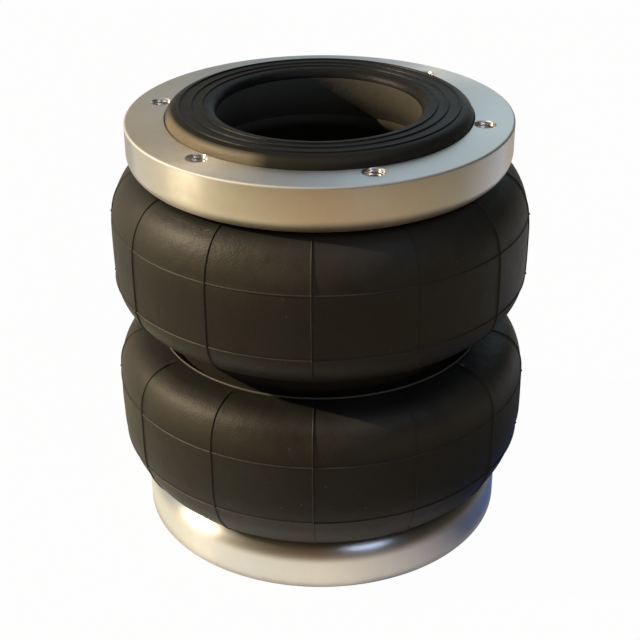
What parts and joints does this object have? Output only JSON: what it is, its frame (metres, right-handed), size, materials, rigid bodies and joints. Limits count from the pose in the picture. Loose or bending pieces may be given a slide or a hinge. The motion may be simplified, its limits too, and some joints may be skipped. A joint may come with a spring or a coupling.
{
  "type": "air bellows actuator",
  "caption": "Double-convolution rubber air bellows with wired beads held in loose tapped aluminium flange rings; works as an air spring or a short-stroke lifting actuator.",
  "frame": {"origin": "centre of the lower flange ring's outer face, on the floor", "axes": "+Z along the bellows' axis, from the lower ring to the upper ring; -Y faces the camera of the picture"},
  "size_m": [0.1696, 0.17, 0.178],
  "materials": {
    "turned_aluminium": "fine turned",
    "seal_rubber": "satin moulded",
    "cover_rubber": "satin moulded",
    "liner_rubber": "matt",
    "filler_rubber": "matt",
    "rubbered_cord": "rubber-coated cord",
    "bead_wire": "bronze-plated wire",
    "hoop_steel": "plain wire"
  },
  "bodies": {
    "lower_ring": {"lower_flange_ring": "turned_aluminium"},
    "lower_bead": {"lower_bead_seal": "seal_rubber", "lower_bead_core": "bead_wire", "lower_bead_filler": "filler_rubber", "lower_outer_cover": "cover_rubber", "lower_crossed_ply": "rubbered_cord", "lower_cord_ply": "rubbered_cord", "lower_inner_liner": "liner_rubber"},
    "girdle": {"girdle_hoop": "hoop_steel", "girdle_band": "cover_rubber"},
    "upper_bead": {"upper_bead_seal": "seal_rubber", "upper_bead_core": "bead_wire", "upper_bead_filler": "filler_rubber", "upper_outer_cover": "cover_rubber", "upper_crossed_ply": "rubbered_cord", "upper_cord_ply": "rubbered_cord", "upper_inner_liner": "liner_rubber"},
    "upper_ring": {"upper_flange_ring": "turned_aluminium"}
  },
  "joints": [
    {"name": "lower_swivel", "type": "hinge", "parent": "lower_ring", "child": "lower_bead", "pos_m": [0, 0, 0.01], "axis": [0, 0, 1], "continuous": true},
    {"name": "lower_stroke", "type": "slide", "parent": "lower_bead", "child": "girdle", "axis": [0, 0, 1], "range_m": [-0.038, 0.01], "stiffness_N_per_m": 20000, "springref_m": 0.00045, "deforming": ["lower_outer_cover", "lower_crossed_ply", "lower_cord_ply", "lower_inner_liner"]},
    {"name": "upper_stroke", "type": "slide", "parent": "girdle", "child": "upper_bead", "axis": [0, 0, 1], "range_m": [-0.038, 0.01], "stiffness_N_per_m": 20000, "springref_m": 0.00045, "deforming": ["upper_outer_cover", "upper_crossed_ply", "upper_cord_ply", "upper_inner_liner"]},
    {"name": "upper_swivel", "type": "hinge", "parent": "upper_bead", "child": "upper_ring", "pos_m": [0, 0, 0.163], "axis": [0, 0, 1], "continuous": true}
  ],
  "couplings": [
    {"joint": "upper_stroke", "follows": "lower_stroke", "ratio": 1}
  ]
}
